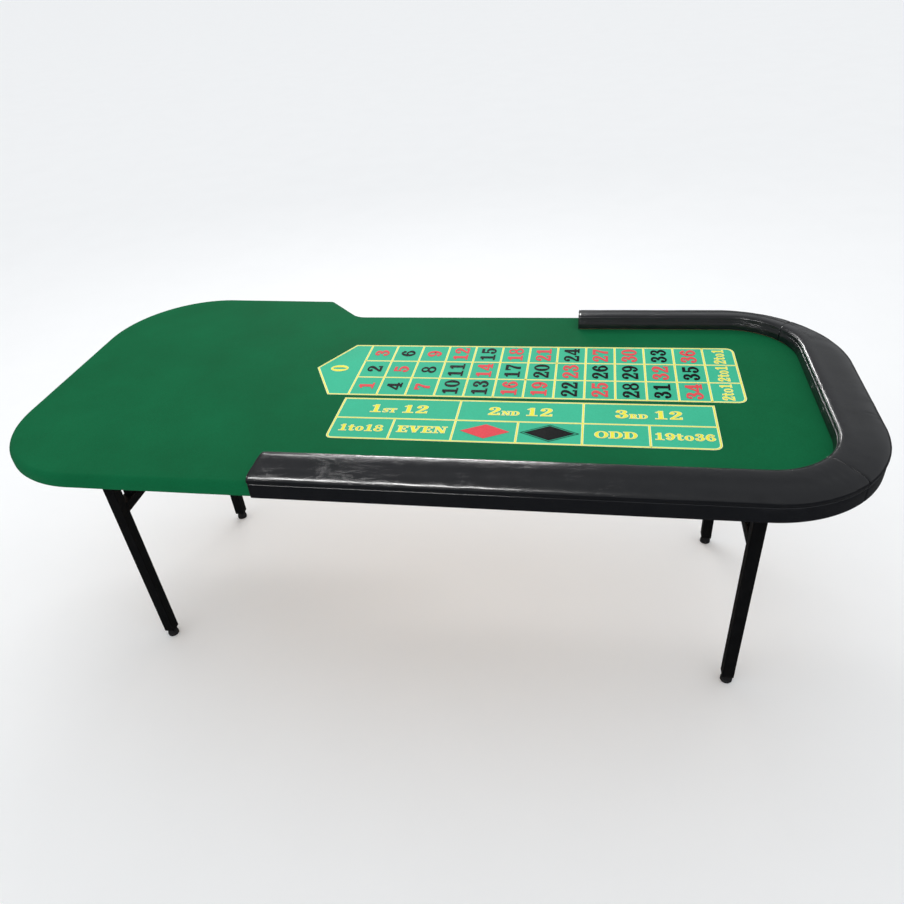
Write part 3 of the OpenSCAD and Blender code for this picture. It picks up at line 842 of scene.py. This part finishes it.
def railStations(name):
    # (outer point, inner point, distance from the nearer end, distance along)
    runs = railRuns(name)
    lengths = []
    for outer, inner in runs:
        points = [outer(k / 40) for k in range(41)]
        lengths.append(sum(math.dist(points[k], points[k + 1]) for k in range(40)))
    total = sum(lengths)
    near = [rail["gap"], 0.0010, 0.0020, 0.0035, rail["near"]]
    stations = []
    passed = 0.0
    for k, (outer, inner) in enumerate(runs):
        count = max(2, round(lengths[k] / rail["step"]))
        shares = [s / count for s in range(count)]
        if k == 0:
            shares = [d / lengths[k] for d in near] + [s for s in shares if s * lengths[k] > near[-1] + 0.002]
        if k == len(runs) - 1:
            shares = [s for s in shares if (1 - s) * lengths[k] > near[-1] + 0.002]
            shares += [1 - d / lengths[k] for d in reversed(near)]
        for s in shares:
            along = passed + s * lengths[k]
            stations.append((outer(s), inner(s), min(along, total - along), along))
        passed += lengths[k]
    return stations


def railPoint(outer, inner, distance, height, side):
    o, i = Vector(outer), Vector(inner)
    across = (i - o).normalized()
    p = o + across * distance if side == "outer" else i - across * distance
    return Vector((p.x, p.y, feltZ + height))


railProfile = [(d, z, "outer") for d, z in outerSide] + [(d, z, "inner") for d, z in innerSide]


def buildRail(name, seed):
    stations = railStations(name)
    section = railProfile + closing
    count = len(section)
    verts = []
    for outer, inner, toEnd, along in stations:
        tuck = rail["tuck"] * max(0.0, 1 - toEnd / rail["near"]) ** 2
        middle = railPoint(outer, inner, 0.045, 0.012, "outer")
        straight = (Vector(inner) - Vector(outer)).length
        corner = min(1.0, abs(straight - rail["width"]) / 0.02)
        ring = []
        for k, (distance, height, side) in enumerate(section):
            p = railPoint(outer, inner, distance, height, side)
            if k < len(railProfile):
                top = min(1.0, max(0.0, height / 0.02))
                ripple = noise.noise(Vector((along * rail["rippleScale"], k * 0.33, seed)))
                fine = noise.noise(Vector((along * rail["fineScale"], k * 0.55, seed + 5)))
                patch = max(0.0, noise.noise(Vector((along * rail["patchScale"], 1.7, seed + 9))) + 0.25)
                fold = noise.noise(Vector((along * rail["puckerScale"], k * 0.12, seed + 3))) * corner
                lift = rail["wrinkle"] * (ripple * 0.9 + fine * patch * 2.0) * top
                lift += rail["pucker"] * fold * (1 - top)
                away = (p - middle).normalized()
                p = p + away * lift
                p = p - away * tuck * (1 if height > -0.040 else 0.2)
                p.z = max(p.z, feltZ + 0.0003) if side == "inner" else p.z
            ring.append(p)
        verts += [tuple(p) for p in ring]
    faces = []
    for s in range(len(stations) - 1):
        for k in range(count):
            a = s * count + k
            b = s * count + (k + 1) % count
            faces.append((a, b, b + count, a + count))
    last = (len(stations) - 1) * count
    faces.append([k for k in range(count)])
    faces.append([last + k for k in range(count)])
    piece = makePiece(name + "RailPad", verts, faces, "hide")
    useModifier(piece, "SUBSURF", levels=1)
    for face in piece.data.polygons:
        face.use_smooth = True
    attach(piece, "top")
    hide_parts(name + "_rail_cover", name + "_rail_foam")
    return piece


def buildTube(name, path, radius, paint, closed=False):
    sides = 8
    verts = []
    count = len(path)
    for k, point in enumerate(path):
        before = path[k - 1] if closed or k > 0 else point
        after = path[(k + 1) % count] if closed or k < count - 1 else point
        along = (after - before).normalized()
        up = Vector((0, 0, 1)) if abs(along.z) < 0.9 else Vector((0, 1, 0))
        side = along.cross(up).normalized()
        up = side.cross(along)
        for s in range(sides):
            a = 2 * math.pi * s / sides
            verts.append(tuple(point + side * math.cos(a) * radius + up * math.sin(a) * radius))
    faces = []
    for k in range(count if closed else count - 1):
        for s in range(sides):
            n = (s + 1) % sides
            m = (k + 1) % count
            faces.append((k * sides + s, k * sides + n, m * sides + n, m * sides + s))
    if not closed:
        faces.append([s for s in range(sides)])
        faces.append([(count - 1) * sides + s for s in range(sides)])
    piece = makePiece(name, verts, faces, paint)
    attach(piece, "top")
    return piece


welts = {
    "radius": 0.0014,
    # label, distance in, height over the cloth, side
    "spots": [
        ("upper", .0094, .0372, "inner"),
        ("lower", .0066, .0262, "inner"),
        ("outer", .0014, -.0004, "outer"),
    ],
}


def buildWelts(name):
    for label, distance, height, side in welts["spots"]:
        path = []
        for outer, inner, toEnd, along in railStations(name):
            dip = rail["tuck"] * 0.8 * max(0.0, 1 - toEnd / rail["near"]) ** 2
            path.append(railPoint(outer, inner, distance, height - dip, side))
        # the piping takes the lighter welt paint: painted highlight along the shoulders
        buildTube(name + "RailWelt_" + label, path, welts["radius"], "welt")


def buildEndWelt(name, station):
    # a line of piping round a square-cut free end
    outer, inner, toEnd, along = station
    path = []
    for distance, height, side in railProfile:
        if height > -0.043:
            path.append(railPoint(outer, inner, distance, height, side))
    shift = Vector((0.0012 if name == "front" else -0.0012, 0, 0))
    middle = railPoint(outer, inner, 0.045, 0.012, "outer")
    path = [p + shift - (p - middle).normalized() * 0.0012 for p in path]
    # the lighter welt paint here is a painted highlight round the free end
    buildTube(name + "RailEndWelt", path, 0.0013, "welt")


for seed, name in enumerate(("front", "end", "back")):
    buildRail(name, seed * 7.3)
    buildWelts(name)
buildEndWelt("front", railStations("front")[0])
buildEndWelt("back", railStations("back")[-1])
print("rail padded and piped")



studio = {
    "floorSize": 160.0,
    "floorSteps": 24,
    "floorInGloss": (0.07, 0.07, 0.07, 1),
    "backdrop": (0.97, 0.97, 0.97, 1),
    "skyColour": (0.96, 0.98, 1.0, 1),
    "skyStrength": 0.98,
    "mirrorStrength": 0.42,
    # place, aim, size, power, whether it lights matt surfaces too
    "lamps": [
        ((-0.9, 2.4, 3.2), (-0.2, -0.5, 0.85), (2.2, 0.35), 28, True),
        ((-0.5, 2.7, 1.75), (1.0, 0.0, 0.87), (1.6, 0.35), 60, False),
        ((-0.9, -1.9, 3.3), (-0.3, -0.56, 0.86), (1.9, 0.55), 95, False),
    ],
    "lampColour": (1.0, 0.99, 0.98),
}
camera = {
    "place": (0.4876, -1.9521, 1.9870),
    "right": (0.9834, 0.1642, -0.0771),
    "down": (0.0342, -0.5851, -0.8103),
    "forward": (-0.1781, 0.7942, -0.5810),
    "lens": 29.88,
}


def buildFloor():
    size = studio["floorSize"]
    steps = studio["floorSteps"]
    verts = []
    for j in range(steps + 1):
        for k in range(steps + 1):
            verts.append((size * (k / steps - 0.5), size * (j / steps - 0.5), 0))
    faces = []
    for j in range(steps):
        for k in range(steps):
            a = j * (steps + 1) + k
            faces.append((a, a + 1, a + steps + 2, a + steps + 1))
    material, tree, shader = startMaterial("paleFloor", {"Specular IOR Level": 0.2})
    cloud = noiseAt(tree, stretched(tree, (1, 1, 1)), 3.0, 4.0, 0.6)
    tone = blendColours(tree, cloud, (0.93, 0.93, 0.93), (0.96, 0.96, 0.96))
    tree.links.new(tone, shader.inputs["Base Color"])
    tree.links.new(spreadOut(tree, cloud, 0.0, 1.0, 0.75, 0.9), shader.inputs["Roughness"])
    # the black coats mirror a dark studio rather than the pale floor
    dark = addNode(tree, "ShaderNodeBsdfDiffuse", {"Color": studio["floorInGloss"]})
    ray = addNode(tree, "ShaderNodeLightPath").outputs
    values = {0: ray["Is Glossy Ray"], 1: shader.outputs[0], 2: dark.outputs[0]}
    both = addNode(tree, "ShaderNodeMixShader", values)
    tree.links.new(both.outputs[0], tree.nodes["Material Output"].inputs["Surface"])
    paints["floor"] = material
    floor = makePiece("studioFloor", verts, faces, "floor")


def buildLamps():
    for k, (place, aim, size, power, lightsMatt) in enumerate(studio["lamps"]):
        data = bpy.data.lights.new("softLamp" + str(k), "AREA")
        data.shape = "RECTANGLE"
        data.size, data.size_y = size
        data.energy = power
        data.color = studio["lampColour"]
        lamp = bpy.data.objects.new("softLamp" + str(k), data)
        lamp.location = place
        lamp.rotation_euler = (Vector(aim) - Vector(place)).to_track_quat("-Z", "Y").to_euler()
        lamp.visible_camera = False
        lamp.visible_diffuse = lightsMatt
        bpy.context.scene.collection.objects.link(lamp)
    world = bpy.data.worlds.new("studioSky")
    world.use_nodes = True
    tree = world.node_tree
    sky = tree.nodes["Background"]
    sky.inputs["Color"].default_value = studio["skyColour"]
    sky.inputs["Strength"].default_value = studio["skyStrength"]
    # gloss sees a dim room, and the camera a plain pale backdrop
    values = {"Color": studio["skyColour"], "Strength": studio["mirrorStrength"]}
    dim = addNode(tree, "ShaderNodeBackground", values)
    seen = addNode(tree, "ShaderNodeBackground", {"Color": studio["backdrop"], "Strength": 1.0})
    ray = addNode(tree, "ShaderNodeLightPath").outputs
    values = {0: ray["Is Glossy Ray"], 1: sky.outputs[0], 2: dim.outputs[0]}
    both = addNode(tree, "ShaderNodeMixShader", values)
    values = {0: ray["Is Camera Ray"], 1: both.outputs[0], 2: seen.outputs[0]}
    both = addNode(tree, "ShaderNodeMixShader", values)
    tree.links.new(both.outputs[0], tree.nodes["World Output"].inputs["Surface"])
    bpy.context.scene.world = world


def buildCamera():
    data = bpy.data.cameras.new("studioCamera")
    data.lens = camera["lens"]
    data.sensor_width = 36
    data.clip_end = 200
    viewer = bpy.data.objects.new("studioCamera", data)
    right, down, forward = (Vector(camera[key]) for key in ("right", "down", "forward"))
    turn = Matrix((right, -down, -forward)).transposed()
    viewer.matrix_world = Matrix.Translation(camera["place"]) @ turn.to_4x4()
    bpy.context.scene.collection.objects.link(viewer)
    bpy.context.scene.camera = viewer


buildFloor()
buildLamps()
buildCamera()
bpy.context.scene.view_settings.view_transform = "Standard"

bpy.context.view_layer.update()
